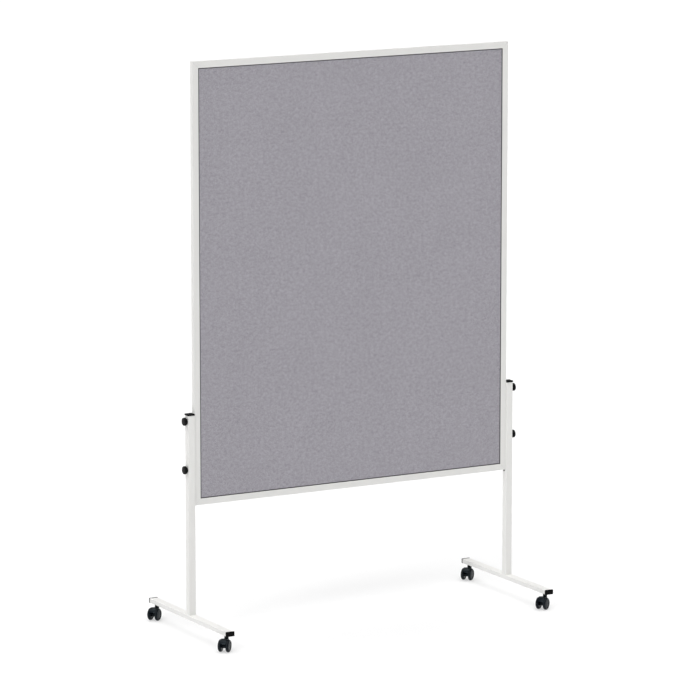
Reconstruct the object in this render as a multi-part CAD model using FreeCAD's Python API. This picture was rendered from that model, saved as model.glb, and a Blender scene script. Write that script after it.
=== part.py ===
import FreeCAD, Part
import math
import os

from FreeCAD import Placement, Rotation, Vector

# Presentation pinboard on a stand with four twin-wheel castors, in millimetres.
# +Z is up, the front looks along -Y, and the origin is on the floor below the board's middle.

# Board frame: a mitred hollow extrusion with a groove for the panel on its inner side
frame_width = 1220.0
frame_height = 1500.0
frame_lift = 446.0
rail_face = 22.0
rail_depth = 18.0
rail_wall = 1.4
rail_edge_radius = 0.8
groove_depth = 10.0

# Panel: a soft core with felt on both sides and a narrow seal between each felt and the frame
core_thickness = 10.0
core_clearance = 0.2
core_edge_gap = 1.5
felt_thickness = 3.0
seal_width = 2.4
seal_rise = 0.3

# Corner keys, threaded bars and the screws that hold them in the frame
key_leg = 30.0
key_clearance = 0.2
key_screw_from_end = 8.0
bar_clearance = 0.6
bar_margin = 12.0
screw_diameter = 3.0
screw_length = 9.0
screw_head_diameter = 5.6
screw_head_height = 1.8
screw_fit = 0.05
hole_clearance = 0.3

# Columns: square tubes beside the frame
column_side = 25.0
column_wall = 1.5
column_edge_radius = 2.0
column_overlap = 309.5
column_cap_thickness = 5.0
column_cap_overhang = 1.5
cap_chamfer = 0.6
cap_plug_depth = 9.0
cap_plug_wall = 2.0
plug_clearance = 0.2
plug_screw_gap = 4.0
plug_screw_margin = 5.0

# Feet: flat rectangular tubes from front to back
foot_length = 560.0
foot_width = 30.0
foot_height = 15.0
foot_wall = 1.5
foot_edge_radius = 1.5
foot_cap_thickness = 4.5
foot_cap_overhang = 0.8
foot_bolt_spacing = 12.0
foot_bolt_diameter = 5.0
foot_bolt_length = 18.0
foot_bolt_head_diameter = 9.0
foot_bolt_head_height = 2.8
bolt_access_clearance = 0.5
tap_run_out = 1.0

# Castors: the wheels trail behind the pivot
castor_inset = 24.0
castor_height = 54.0
castor_trail = 20.0
wheel_diameter = 42.0
wheel_width = 11.0
wheel_gap = 16.0
wheel_edge_radius = 4.6
wheel_rim = 6.0
hub_recess = 1.4
hub_crown = 1.0
hub_flat_radius = 2.0
hub_cap_thickness = 3.0
axle_diameter = 6.0
axle_fit = 0.05
axle_press = 0.02
axle_end_gap = 0.5
axle_boss_diameter = 17.0
web_clearance = 0.5
hood_clearance = 1.2
hood_thickness = 2.0
hood_crown = 1.0
hood_width = 24.0
hood_rear_angle = 25.0
pivot_boss_rise = 1.0
pintle_diameter = 8.0
pintle_fit = 0.08
pintle_length = 22.0
neck_diameter = 13.5
neck_seat_gap = 0.3
stem_hex = 14.0
stem_hex_height = 5.0
stem_thread_diameter = 10.0
stem_top_gap = 1.0
insert_length = 24.0

# Swivel of each castor at rest, from +X towards +Y to the side where its wheels trail
castor_headings = {
    "front_left": -136.0,
    "front_right": -146.0,
    "rear_left": -143.0,
    "rear_right": -142.0,
}

# Clamp knobs: a fluted head on a threaded stud, with a washer
knob_drop = 20.3
knob_spacing = 166.0
knob_diameter = 27.5
knob_height = 12.3
knob_collar_diameter = 19.0
knob_collar_height = 2.2
knob_flare = 1.2
knob_edge_radius = 1.8
knob_crown = 0.8
knob_flat_radius = 2.0
knob_bore_depth = 8.0
flute_count = 12
flute_diameter = 5.0
flute_depth = 0.8
stud_diameter = 6.0
stud_fit = 0.02
thread_clearance = 0.05
washer_diameter = 17.0
washer_thickness = 1.2

# Places worked out from the sizes
SIDES = {"left": -1, "right": 1}
ENDS = {"front": -1, "rear": 1}
frame_top = frame_lift + frame_height
frame_middle = frame_lift + frame_height / 2
chamber_width = rail_face - groove_depth - 2 * rail_wall
chamber_depth = rail_depth - 2 * rail_wall
chamber_axis = rail_wall + chamber_width / 2
core_insertion = groove_depth - core_edge_gap
bar_thickness = chamber_width - bar_clearance
column_x = frame_width / 2 + column_side / 2
column_outside = frame_width / 2 + column_side
column_top = frame_lift + column_overlap
column_bore = column_side - 2 * column_wall
foot_top = castor_height + foot_height
foot_bore_width = foot_width - 2 * foot_wall
foot_bore_height = foot_height - 2 * foot_wall
foot_middle = castor_height + foot_height / 2
bolt_seat = foot_top - foot_wall
bolt_end = bolt_seat + foot_bolt_length
plug_screw_z = bolt_end + plug_screw_gap + screw_diameter / 2
plug_top = plug_screw_z + screw_diameter / 2 + plug_screw_margin
castor_y = foot_length / 2 - castor_inset
wheel_radius = wheel_diameter / 2
web_half = wheel_gap / 2 - web_clearance
hood_inner = wheel_radius + hood_clearance
hood_outer = hood_inner + hood_thickness
pivot_boss_top = wheel_radius + hood_outer + pivot_boss_rise
upper_knob_z = column_top - knob_drop
knob_levels = {"upper": upper_knob_z, "lower": upper_knob_z - knob_spacing}

POINT_TOLERANCE = 1e-6
X_AXIS = Vector(1, 0, 0)
Y_AXIS = Vector(0, 1, 0)
Z_AXIS = Vector(0, 0, 1)


def box(low, high):
    """Box between two opposite corners."""
    low, high = Vector(*low), Vector(*high)
    size = high - low
    return Part.makeBox(size.x, size.y, size.z, low)


def rod(start, direction, diameter, length):
    """Round rod from a start point along a direction."""
    return Part.makeCylinder(diameter / 2, length, Vector(*start), direction)


def rounded_rectangle(width, depth, radius):
    """Face in the XY plane, centred on the origin, with rounded corners."""
    edges = []
    corners = []
    for sx, sy in ((1, 1), (-1, 1), (-1, -1), (1, -1)):
        centre = Vector(sx * (width / 2 - radius), sy * (depth / 2 - radius), 0)
        on_x = centre + Vector(sx * radius, 0, 0)
        on_y = centre + Vector(0, sy * radius, 0)
        middle = centre + Vector(sx, sy, 0) * (radius * math.sqrt(0.5))
        first, last = (on_x, on_y) if sx * sy > 0 else (on_y, on_x)
        corners.append((first, middle, last))
    for index, (first, middle, last) in enumerate(corners):
        edges.append(Part.Arc(first, middle, last).toShape())
        edges.append(Part.LineSegment(last, corners[(index + 1) % 4][0]).toShape())
    return Part.Face(Part.Wire(edges))


def rounded_bar(width, depth, radius, length):
    """Upright bar of rounded rectangular section, standing on the XY plane."""
    return rounded_rectangle(width, depth, radius).extrude(Z_AXIS * length)


def rectangular_tube(width, depth, wall, radius, length):
    """Upright rectangular tube, standing on the XY plane."""
    outside = rounded_bar(width, depth, radius, length)
    inner_width = width / 2 - wall
    inner_depth = depth / 2 - wall
    inside = box((-inner_width, -inner_depth, 0), (inner_width, inner_depth, length))
    return outside.cut(inside)


def moved(shape, offset, axis=Z_AXIS, angle=0.0):
    """Copy of a shape, turned about the origin and then moved."""
    copy = shape.copy()
    copy.Placement = Placement(Vector(*offset), Rotation(axis, angle)).multiply(copy.Placement)
    return copy


def outline(points):
    """Closed face from points, where a triple (start, middle, end) stands for an arc."""
    edges = []
    last = None
    first = None
    for item in points:
        start = item[0] if isinstance(item, tuple) else item
        if last is not None and last.distanceToPoint(start) > POINT_TOLERANCE:
            edges.append(Part.LineSegment(last, start).toShape())
        if isinstance(item, tuple):
            edges.append(Part.Arc(*item).toShape())
            last = item[2]
        else:
            last = item
        first = start if first is None else first
    edges.append(Part.LineSegment(last, first).toShape())
    return Part.Face(Part.Wire(edges))


def dome(base_radius, base, crown, flat_radius):
    """Start, middle and end (radius, height) of a dome's arc, from its rim to the flat on its top."""
    centre = (flat_radius ** 2 + crown ** 2 - base_radius ** 2) / (2 * crown)
    sphere = math.hypot(base_radius, centre)
    turn = (math.asin(base_radius / sphere) + math.asin(flat_radius / sphere)) / 2
    middle = (sphere * math.sin(turn), base + centre + sphere * math.cos(turn))
    return (base_radius, base), middle, (flat_radius, base + crown)


def rail(length):
    """Rail along X with its outer face at z = 0, its groove upwards and mitred ends."""
    body = rounded_bar(rail_face, rail_depth, rail_edge_radius, length)
    outer = -rail_face / 2
    inner = rail_face / 2
    chamber_end = outer + rail_wall + chamber_width
    groove_floor = chamber_end + rail_wall
    half_chamber = chamber_depth / 2
    half_mouth = core_thickness / 2 + core_clearance
    body = body.cut(box((outer + rail_wall, -half_chamber, 0), (chamber_end, half_chamber, length)))
    body = body.cut(box((groove_floor, -half_chamber, 0), (inner - rail_wall, half_chamber, length)))
    body = body.cut(box((inner - rail_wall, -half_mouth, 0), (inner, half_mouth, length)))
    body = moved(body, (-length / 2, 0, rail_face / 2), Vector(1, 0, 1), 180)
    mitre = Part.makePolygon([
        Vector(-length / 2, -rail_depth / 2, 0),
        Vector(length / 2, -rail_depth / 2, 0),
        Vector(length / 2 - rail_face, -rail_depth / 2, rail_face),
        Vector(-length / 2 + rail_face, -rail_depth / 2, rail_face),
        Vector(-length / 2, -rail_depth / 2, 0),
    ])
    return body.common(Part.Face(mitre).extrude(Y_AXIS * rail_depth))


def screw():
    """Pan-head screw along -Y, seated with its head's underside at y = 0."""
    head = rod((0, 0, 0), Y_AXIS, screw_head_diameter, screw_head_height)
    shank = rod((0, -screw_length, 0), Y_AXIS, screw_diameter, screw_length)
    return head.fuse(shank).removeSplitter()


def screw_holes(places, seat_y, fit):
    """Holes along Y for screws seated at the given (x, z) places."""
    diameter = screw_diameter + 2 * fit
    return [rod((x, seat_y - screw_length, z), Y_AXIS, diameter, screw_length) for x, z in places]


def corner_screw_places():
    """Places (x, z) of the screws in the corner keys, one on each leg."""
    reach = rail_wall + key_clearance + key_leg - key_screw_from_end
    places = []
    for sx in (-1, 1):
        for end, inward in ((frame_lift, 1), (frame_top, -1)):
            places.append((sx * (frame_width / 2 - reach), end + inward * chamber_axis))
            places.append((sx * (frame_width / 2 - chamber_axis), end + inward * reach))
    return places


def bar_screw_places():
    """Places (x, z) of the screws that keep the threaded bars in the stiles."""
    middle = upper_knob_z - knob_spacing / 2
    return [(sx * (frame_width / 2 - chamber_axis), middle) for sx in (-1, 1)]


def corner_key(sx, end, inward):
    """L-shaped key in the chambers of two rails at one corner."""
    start = rail_wall + key_clearance
    width = chamber_width - 2 * key_clearance
    half = chamber_depth / 2 - key_clearance
    lying = box((start, -half, start), (start + key_leg, half, start + width))
    standing = box((start, -half, start), (start + width, half, start + key_leg))
    key = lying.fuse(standing).removeSplitter()
    corner = (sx * frame_width / 2, 0, end)
    quarter_turns = {(-1, 1): 0, (-1, -1): 90, (1, -1): 180, (1, 1): 270}
    return moved(key, corner, Y_AXIS, quarter_turns[(sx, inward)])


def build_frame():
    """Rails, keys, threaded bars and screws of the board's frame."""
    horizontal = rail(frame_width)
    upright = rail(frame_height)
    rails = {
        "frame_bottom_rail": moved(horizontal, (0, 0, frame_lift)),
        "frame_top_rail": moved(horizontal, (0, 0, frame_top), Y_AXIS, 180),
        "frame_left_stile": moved(upright, (-frame_width / 2, 0, frame_middle), Y_AXIS, 90),
        "frame_right_stile": moved(upright, (frame_width / 2, 0, frame_middle), Y_AXIS, -90),
    }
    seat_y = rail_depth / 2
    places = corner_screw_places() + bar_screw_places()
    drills = screw_holes(places, seat_y, hole_clearance)
    drill_diameter = stud_diameter + 2 * hole_clearance
    for sx in SIDES.values():
        start = sx * (frame_width / 2 - rail_wall)
        for z in knob_levels.values():
            drills.append(rod((start, 0, z), X_AXIS * sx, drill_diameter, rail_wall))
    nodes = {name: shape.cut(drills) for name, shape in rails.items()}

    tapped = screw_holes(places, seat_y, screw_fit)
    keys = [corner_key(sx, end, inward)
            for sx in (-1, 1) for end, inward in ((frame_lift, 1), (frame_top, -1))]
    nodes["corner_keys"] = Part.makeCompound([key.cut(tapped) for key in keys])
    nodes["frame_screws"] = Part.makeCompound([moved(screw(), (x, seat_y, z)) for x, z in places])

    half = chamber_depth / 2 - key_clearance
    low = knob_levels["lower"] - bar_margin
    high = knob_levels["upper"] + bar_margin
    for name, sx in SIDES.items():
        near = sx * (frame_width / 2 - rail_wall)
        far = near - sx * bar_thickness
        bar = box((min(near, far), -half, low), (max(near, far), half, high))
        thread = stud_diameter + 2 * thread_clearance
        studs = [rod((near, 0, z), X_AXIS * -sx, thread, bar_thickness) for z in knob_levels.values()]
        nodes[name + "_threaded_bar"] = bar.cut(studs + tapped)
    return nodes


def build_panel():
    """Core panel, and on each of its two faces a felt with a seal round it."""
    opening_x = frame_width / 2 - rail_face
    opening_z = frame_height / 2 - rail_face
    felt_x = opening_x - seal_width
    felt_z = opening_z - seal_width
    face = core_thickness / 2

    def slab(half_x, half_z, low_y, high_y):
        return box((-half_x, low_y, frame_middle - half_z), (half_x, high_y, frame_middle + half_z))

    nodes = {"core_panel": slab(opening_x + core_insertion, opening_z + core_insertion, -face, face)}
    seal_face = face + felt_thickness + seal_rise
    felt = slab(felt_x, felt_z, face, face + felt_thickness)
    seal = slab(opening_x, opening_z, face, seal_face).cut(slab(felt_x, felt_z, face, seal_face))
    for end, turn in (("front", 180), ("rear", 0)):
        nodes[end + "_felt"] = moved(felt, (0, 0, 0), Z_AXIS, turn)
        nodes[end + "_seal"] = moved(seal, (0, 0, 0), Z_AXIS, turn)
    return nodes


def end_cap(width, depth, wall, radius, thickness, overhang, inner_overhang):
    """Tube cap: a flange above z = 0 that may overhang less on its -X side, and a hollow plug below."""
    flange = rounded_bar(width + overhang + inner_overhang, depth + 2 * overhang, radius, thickness)
    flange = moved(flange, ((overhang - inner_overhang) / 2, 0, 0))
    rim = [edge for edge in flange.Edges
           if min(vertex.Z for vertex in edge.Vertexes) > thickness - POINT_TOLERANCE]
    flange = flange.makeChamfer(cap_chamfer, rim)
    half_x = width / 2 - wall - plug_clearance
    half_y = depth / 2 - wall - plug_clearance
    plug = box((-half_x, -half_y, -cap_plug_depth), (half_x, half_y, 0))
    hollow = box((cap_plug_wall - half_x, cap_plug_wall - half_y, -cap_plug_depth),
                 (half_x - cap_plug_wall, half_y - cap_plug_wall, 0))
    return flange.fuse(plug.cut(hollow)).removeSplitter()


def foot_bolt():
    """Button-head bolt along Z, seated with its head's top at z = 0."""
    head = rod((0, 0, -foot_bolt_head_height), Z_AXIS, foot_bolt_head_diameter, foot_bolt_head_height)
    shank = rod((0, 0, 0), Z_AXIS, foot_bolt_diameter, foot_bolt_length)
    return head.fuse(shank).removeSplitter()


def build_stand():
    """Columns, feet, plugs, caps and bolts."""
    nodes = {}
    bolts = []
    plug_screws = []
    column_length = column_top - foot_top
    column = rectangular_tube(column_side, column_side, column_wall, column_edge_radius, column_length)
    column_cap = end_cap(column_side, column_side, column_wall, column_edge_radius,
                         column_cap_thickness, column_cap_overhang, 0)
    foot = rectangular_tube(foot_width, foot_height, foot_wall, foot_edge_radius, foot_length)
    foot_cap = end_cap(foot_width, foot_height, foot_wall, foot_edge_radius,
                       foot_cap_thickness, foot_cap_overhang, foot_cap_overhang)
    for side, sx in SIDES.items():
        x = sx * column_x
        bolt_ys = [sy * foot_bolt_spacing / 2 for sy in (-1, 1)]
        plug_place = [(x, plug_screw_z)]

        stud_hole = stud_diameter + 2 * hole_clearance
        inner_face = sx * frame_width / 2
        drills = [rod((inner_face, 0, z), X_AXIS * sx, stud_hole, column_side)
                  for z in knob_levels.values()]
        drills += screw_holes(plug_place, column_side / 2, hole_clearance)
        nodes[side + "_column"] = moved(column, (x, 0, foot_top)).cut(drills)
        outward = 0 if sx > 0 else 180
        nodes[side + "_column_cap"] = moved(column_cap, (x, 0, column_top), Z_AXIS, outward)

        half = column_bore / 2 - plug_clearance
        plug = box((x - half, -half, foot_top), (x + half, half, plug_top))
        thread = foot_bolt_diameter + 2 * screw_fit
        tap_depth = bolt_end + tap_run_out - foot_top
        taps = [rod((x, y, foot_top), Z_AXIS, thread, tap_depth) for y in bolt_ys]
        taps += screw_holes(plug_place, column_side / 2, screw_fit)
        nodes[side + "_column_plug"] = plug.cut(taps)
        plug_screws.append(moved(screw(), (x, column_side / 2, plug_screw_z)))
        bolts += [moved(foot_bolt(), (x, y, bolt_seat)) for y in bolt_ys]

        access = foot_bolt_head_diameter + 2 * bolt_access_clearance
        shank = foot_bolt_diameter + 2 * hole_clearance
        stem_hole = stem_thread_diameter + 2 * hole_clearance
        drills = []
        for y in bolt_ys:
            drills.append(rod((x, y, castor_height), Z_AXIS, access, foot_wall))
            drills.append(rod((x, y, bolt_seat), Z_AXIS, shank, foot_wall))
        for sy in ENDS.values():
            drills.append(rod((x, sy * castor_y, castor_height), Z_AXIS, stem_hole, foot_wall))
        nodes[side + "_foot"] = moved(foot, (x, -foot_length / 2, foot_middle), X_AXIS, -90).cut(drills)
        for end, sy in ENDS.items():
            nodes[f"{end}_{side}_foot_cap"] = moved(
                foot_cap, (x, sy * foot_length / 2, foot_middle), X_AXIS, -sy * 90)
    nodes["foot_bolts"] = Part.makeCompound(bolts)
    nodes["plug_screws"] = Part.makeCompound(plug_screws)
    return nodes


def castor_stem():
    """Stem on the pivot axis: pintle, neck, hexagon and thread."""
    neck_bottom = pivot_boss_top + neck_seat_gap
    hex_bottom = castor_height - stem_hex_height
    pintle = rod((0, 0, neck_bottom - pintle_length), Z_AXIS, pintle_diameter, pintle_length)
    neck = rod((0, 0, neck_bottom), Z_AXIS, neck_diameter, hex_bottom - neck_bottom)
    corner = stem_hex / math.sqrt(3)
    turns = [math.radians(60 * step) for step in range(7)]
    hexagon = Part.Face(Part.makePolygon(
        [Vector(corner * math.cos(turn), corner * math.sin(turn), hex_bottom) for turn in turns]))
    nut = hexagon.extrude(Z_AXIS * stem_hex_height)
    thread_length = foot_height - foot_wall - stem_top_gap
    thread = rod((0, 0, castor_height), Z_AXIS, stem_thread_diameter, thread_length)
    return pintle.multiFuse([neck, nut, thread]).removeSplitter()


def castor_insert():
    """Threaded block inside the foot's tube, over the stem's hole."""
    half_x = foot_bore_width / 2 - plug_clearance
    low = castor_height + foot_wall
    high = low + foot_bore_height - 2 * plug_clearance
    block = box((-half_x, -insert_length / 2, low), (half_x, insert_length / 2, high))
    return block.cut(rod((0, 0, low), Z_AXIS, stem_thread_diameter + 2 * screw_fit, high - low))


def castor_housing():
    """Housing with the pivot on Z and the axle along Y, trailing along +X."""
    axle = Vector(castor_trail, 0, wheel_radius)
    section = outline([
        axle + Vector(hood_inner, -hood_width / 2, 0),
        (axle + Vector(hood_outer - hood_crown, -hood_width / 2, 0),
         axle + Vector(hood_outer, 0, 0),
         axle + Vector(hood_outer - hood_crown, hood_width / 2, 0)),
        axle + Vector(hood_inner, hood_width / 2, 0),
    ])
    section.rotate(axle, -Y_AXIS, hood_rear_angle)
    hood = section.revolve(axle, -Y_AXIS, 180 - hood_rear_angle)
    across = (axle.x, -web_half, axle.z)
    plate_diameter = 2 * hood_inner + hood_thickness
    plate = rod(across, Y_AXIS, plate_diameter, 2 * web_half)
    upper_half = box((axle.x - hood_outer, -web_half, axle.z),
                     (axle.x + hood_outer, web_half, axle.z + hood_outer))
    plate = plate.common(upper_half)
    rear_limit = box((0, -web_half, 0), (2 * hood_outer, web_half, hood_outer))
    rear_limit = moved(rear_limit, (axle.x, 0, axle.z), Y_AXIS, 90 - hood_rear_angle)
    plate = plate.cut(rear_limit)
    axle_boss = rod(across, Y_AXIS, axle_boss_diameter, 2 * web_half)
    pivot_boss = rod((0, 0, axle.z), Z_AXIS, 2 * web_half, pivot_boss_top - axle.z)
    body = plate.multiFuse([hood, axle_boss, pivot_boss])
    pintle_bore = pintle_diameter + 2 * pintle_fit
    pintle_hole = rod((0, 0, pivot_boss_top - pintle_length), Z_AXIS, pintle_bore, pintle_length)
    axle_hole = rod(across, Y_AXIS, axle_diameter + 2 * axle_press, 2 * web_half)
    return body.cut([pintle_hole, axle_hole]).removeSplitter()


def castor_axle():
    """Axle through the housing into both wheels."""
    half = wheel_gap / 2 + wheel_width - hub_cap_thickness - axle_end_gap
    return rod((castor_trail, -half, wheel_radius), Y_AXIS, axle_diameter, 2 * half)


def castor_wheel(side):
    """Wheel on the axle, on the +Y side for 1 and on the -Y side for -1."""
    axle = Vector(castor_trail, 0, wheel_radius)
    bore = axle_diameter / 2 + axle_fit
    inner = wheel_gap / 2
    outer = inner + wheel_width
    shoulder = wheel_radius - wheel_edge_radius
    corner = wheel_radius - wheel_edge_radius * (1 - math.sqrt(0.5))
    hub = wheel_radius - wheel_rim
    dish = outer - hub_recess

    def at(radius, across):
        return axle + Vector(radius, across, 0)

    profile = outline([
        at(bore, inner),
        (at(shoulder, inner),
         at(corner, inner + wheel_radius - corner),
         at(wheel_radius, inner + wheel_edge_radius)),
        (at(wheel_radius, outer - wheel_edge_radius),
         at(corner, outer - wheel_radius + corner),
         at(shoulder, outer)),
        at(hub, outer),
        tuple(at(*point) for point in dome(hub - hub_recess, dish, hub_crown, hub_flat_radius)),
        at(0, dish + hub_crown),
        at(0, outer - hub_cap_thickness),
        at(bore, outer - hub_cap_thickness),
    ])
    wheel = profile.revolve(axle, Y_AXIS, 360)
    if side < 0:
        wheel.rotate(axle, Z_AXIS, 180)
    return wheel


def build_castors():
    """Four castors: fixed stems and inserts, swivelling housings and rolling wheels."""
    nodes = {}
    inserts = []
    for end, sy in ENDS.items():
        for side, sx in SIDES.items():
            corner = f"{end}_{side}"
            pivot = (sx * column_x, sy * castor_y, 0)
            heading = castor_headings[corner]
            nodes[corner + "_castor_stem"] = moved(castor_stem(), pivot)
            nodes[corner + "_castor_housing"] = moved(castor_housing(), pivot, Z_AXIS, heading)
            nodes[corner + "_castor_axle"] = moved(castor_axle(), pivot, Z_AXIS, heading)
            for letter, wheel_side in (("a", -1), ("b", 1)):
                wheel = castor_wheel(wheel_side)
                nodes[f"{corner}_castor_wheel_{letter}"] = moved(wheel, pivot, Z_AXIS, heading)
            inserts.append(moved(castor_insert(), pivot))
    nodes["castor_inserts"] = Part.makeCompound(inserts)
    return nodes


def knob_head():
    """Fluted knob on the Z axis, standing on z = 0, with a bore for its stud."""
    radius = knob_diameter / 2
    collar = knob_collar_diameter / 2
    bore = stud_diameter / 2 + stud_fit
    edge = knob_edge_radius
    inset = edge * (1 - math.sqrt(0.5))
    shoulder = knob_height - knob_crown

    def at(r, z):
        return Vector(r, 0, z)

    profile = outline([
        at(bore, 0),
        at(collar, 0),
        at(collar, knob_collar_height),
        at(radius, knob_collar_height + knob_flare),
        (at(radius, shoulder - edge),
         at(radius - inset, shoulder - inset),
         at(radius - edge, shoulder)),
        tuple(at(*point) for point in dome(radius - edge, shoulder, knob_crown, knob_flat_radius)),
        at(0, knob_height),
        at(0, knob_bore_depth),
        at(bore, knob_bore_depth),
    ])
    head = profile.revolve(Vector(), Z_AXIS, 360)
    flute_circle = radius + flute_diameter / 2 - flute_depth
    flutes = []
    for step in range(flute_count):
        turn = 2 * math.pi * step / flute_count
        centre = (flute_circle * math.cos(turn), flute_circle * math.sin(turn), 0)
        flutes.append(rod(centre, Z_AXIS, flute_diameter, knob_height))
    return head.cut(flutes)


def build_knobs():
    """Four clamp knobs, each with its stud and washer, on the outside of the columns."""
    nodes = {}
    reach = washer_thickness + column_side + rail_wall + bar_thickness
    head = knob_head()
    stud = rod((0, 0, -reach), Z_AXIS, stud_diameter, reach + knob_bore_depth)
    washer = rod((0, 0, -washer_thickness), Z_AXIS, washer_diameter, washer_thickness)
    hole = rod((0, 0, -washer_thickness), Z_AXIS, stud_diameter + 2 * hole_clearance, washer_thickness)
    washer = washer.cut(hole)
    for side, sx in SIDES.items():
        for level, z in knob_levels.items():
            seat = (sx * (column_outside + washer_thickness), 0, z)
            for suffix, shape in (("knob", head), ("knob_stud", stud), ("knob_washer", washer)):
                nodes[f"{side}_{level}_{suffix}"] = moved(shape, seat, Y_AXIS, sx * 90)
    return nodes


os.makedirs("parts", exist_ok=True)
all_nodes = {}
for build in (build_frame, build_panel, build_stand, build_castors, build_knobs):
    all_nodes.update(build())
for node_name, node_shape in all_nodes.items():
    node_shape.exportStep(f"parts/{node_name}.step")
print(len(all_nodes), "nodes written")
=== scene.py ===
"""Presentation pinboard on castors: felts, fasteners, finishes, studio light and camera."""

import logging
import math
from dataclasses import dataclass
from enum import Enum

import bpy
from mathutils import Euler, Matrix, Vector


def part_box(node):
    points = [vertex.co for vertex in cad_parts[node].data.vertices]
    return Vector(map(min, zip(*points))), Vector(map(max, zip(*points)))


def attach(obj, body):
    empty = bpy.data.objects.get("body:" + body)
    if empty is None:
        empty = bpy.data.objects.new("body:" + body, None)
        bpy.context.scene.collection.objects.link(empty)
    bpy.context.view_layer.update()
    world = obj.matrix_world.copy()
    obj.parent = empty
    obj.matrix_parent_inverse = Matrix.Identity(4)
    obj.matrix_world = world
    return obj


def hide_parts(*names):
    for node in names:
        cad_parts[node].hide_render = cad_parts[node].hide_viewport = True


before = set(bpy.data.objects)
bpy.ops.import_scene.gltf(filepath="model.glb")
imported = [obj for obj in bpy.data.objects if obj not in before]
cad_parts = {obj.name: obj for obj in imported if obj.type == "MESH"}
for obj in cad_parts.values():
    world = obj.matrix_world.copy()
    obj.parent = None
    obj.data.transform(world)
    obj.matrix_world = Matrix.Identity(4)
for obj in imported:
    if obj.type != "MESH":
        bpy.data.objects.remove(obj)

LOG = logging.getLogger("pinboard")
MM = 0.001
TOLERANCE = 0.01 * MM
FRAME_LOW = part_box("frame_bottom_rail")[0]
FRAME_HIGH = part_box("frame_top_rail")[1]
RAIL_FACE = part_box("frame_bottom_rail")[1].z - FRAME_LOW.z

Colour = tuple[float, float, float]
Point = tuple[float, float, float]
Range = tuple[float, float]
Piece = bpy.types.Object
Node = bpy.types.Node
Socket = bpy.types.NodeSocket
SocketValue = float | tuple[float, ...] | Socket
Values = dict[str | int, SocketValue]

WHITE_LIGHT = (1.0, 1.0, 1.0, 1.0)


def middle(node: str) -> Vector:
    """Middle of a CAD node's box, in metres."""
    low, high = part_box(node)
    return (low + high) / 2


class Worded(Enum):
    """Options whose names are words in the names of nodes."""

    @property
    def word(self) -> str:
        """The option's word, in lower case."""
        return self.name.lower()


class Side(Worded):
    """The two sides of the stand, with the sign of X."""

    LEFT = -1
    RIGHT = 1


class End(Worded):
    """The two ends of a foot, with the sign of Y."""

    FRONT = -1
    REAR = 1


class Level(Worded):
    """The two heights of the clamp knobs, with the sign of Z from midway between them."""

    UPPER = 1
    LOWER = -1


class Drive(Enum):
    """Recess in a fastener's head."""

    CROSS = "cross"
    HEXAGON = "hexagon"


class Effect(Enum):
    """Surface effects that are shared by several finishes."""

    FIBRES = "matted_fibres"
    PEEL = "orange_peel"
    GRAIN = "moulded_grain"
    DUST = "settled_dust"


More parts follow.
